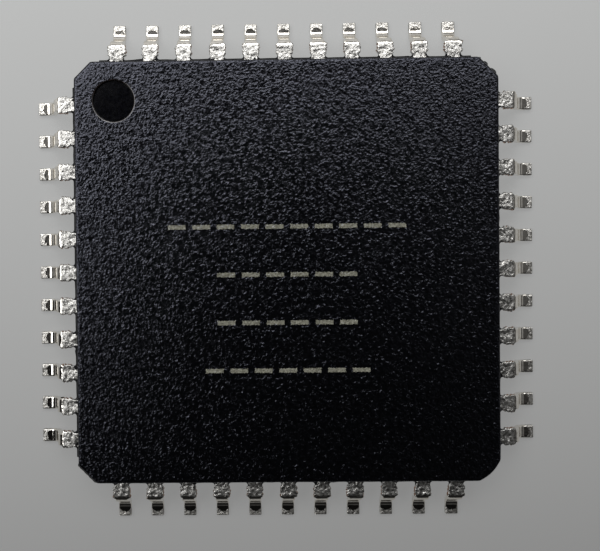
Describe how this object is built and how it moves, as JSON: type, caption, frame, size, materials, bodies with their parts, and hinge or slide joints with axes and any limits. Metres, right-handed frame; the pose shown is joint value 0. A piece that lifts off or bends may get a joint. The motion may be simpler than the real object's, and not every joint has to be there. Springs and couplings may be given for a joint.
{
  "type": "quad flat pack chip",
  "caption": "Thin square surface-mount chip package in black moulding compound, with a row of formed gull-wing leads along each side and a dimple at the pin 1 corner.",
  "frame": {"origin": "on the seating plane under the feet, below the middle of the square body", "axes": "+Z up out of the marked top face, +X to the right and +Y up when the top face is seen with the pin 1 dimple at the top left"},
  "size_m": [0.012, 0.012, 0.0011],
  "materials": {
    "mould_compound": "fine pebbled grain on the faces, smooth and glossy in the dimple",
    "tin_plate": "matte tin plating with a fine speckle",
    "frame_copper": "bare copper alloy",
    "die_adhesive": "silver-filled epoxy",
    "silicon": "polished silicon",
    "gold_wire": "drawn gold wire"
  },
  "bodies": {
    "root": {"moulded_body": "mould_compound", "die_paddle": "frame_copper", "die_attach": "die_adhesive", "silicon_die": "silicon", "bond_wires_west": "gold_wire", "bond_wires_south": "gold_wire", "bond_wires_east": "gold_wire", "bond_wires_north": "gold_wire", "lead_01": "tin_plate", "lead_02": "tin_plate", "lead_03": "tin_plate", "lead_04": "tin_plate", "lead_05": "tin_plate", "lead_06": "tin_plate", "lead_07": "tin_plate", "lead_08": "tin_plate", "lead_09": "tin_plate", "lead_10": "tin_plate", "lead_11": "tin_plate", "lead_12": "tin_plate", "lead_13": "tin_plate", "lead_14": "tin_plate", "lead_15": "tin_plate", "lead_16": "tin_plate", "lead_17": "tin_plate", "lead_18": "tin_plate", "lead_19": "tin_plate", "lead_20": "tin_plate", "lead_21": "tin_plate", "lead_22": "tin_plate", "lead_23": "tin_plate", "lead_24": "tin_plate", "lead_25": "tin_plate", "lead_26": "tin_plate", "lead_27": "tin_plate", "lead_28": "tin_plate", "lead_29": "tin_plate", "lead_30": "tin_plate", "lead_31": "tin_plate", "lead_32": "tin_plate", "lead_33": "tin_plate", "lead_34": "tin_plate", "lead_35": "tin_plate", "lead_36": "tin_plate", "lead_37": "tin_plate", "lead_38": "tin_plate", "lead_39": "tin_plate", "lead_40": "tin_plate", "lead_41": "tin_plate", "lead_42": "tin_plate", "lead_43": "tin_plate", "lead_44": "tin_plate"}
  },
  "joints": []
}
